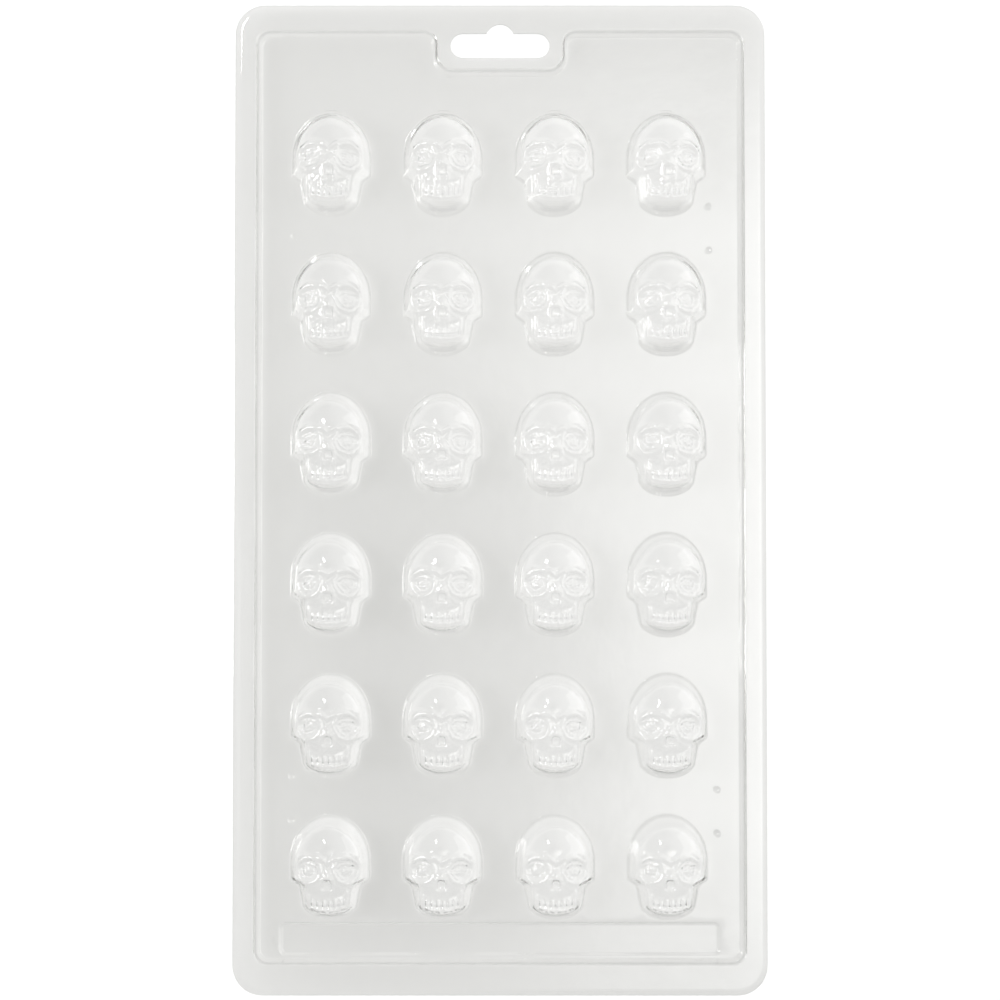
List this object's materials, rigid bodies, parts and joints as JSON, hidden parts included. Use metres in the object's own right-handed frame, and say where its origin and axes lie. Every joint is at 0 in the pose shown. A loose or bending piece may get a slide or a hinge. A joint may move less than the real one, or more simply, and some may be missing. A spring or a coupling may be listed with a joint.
{
  "type": "candy mould",
  "caption": "Clear vacuum-formed plastic sheet with rows of skull-shaped cavities for moulding chocolate or candy, with a stiffening rim and a hang slot.",
  "frame": {"origin": "under the middle of the sheet, on the surface that the sheet lies on with its bumps up", "axes": "+X across the sheet to the right, +Y along it towards the hang slot, +Z out of the bumps"},
  "size_m": [0.133, 0.2476, 0.0103],
  "materials": {
    "clear_plastic": "clear glossy thermoformed PETG sheet, faintly hazy"
  },
  "bodies": {
    "root": {"mould_sheet": "clear_plastic"}
  },
  "joints": []
}
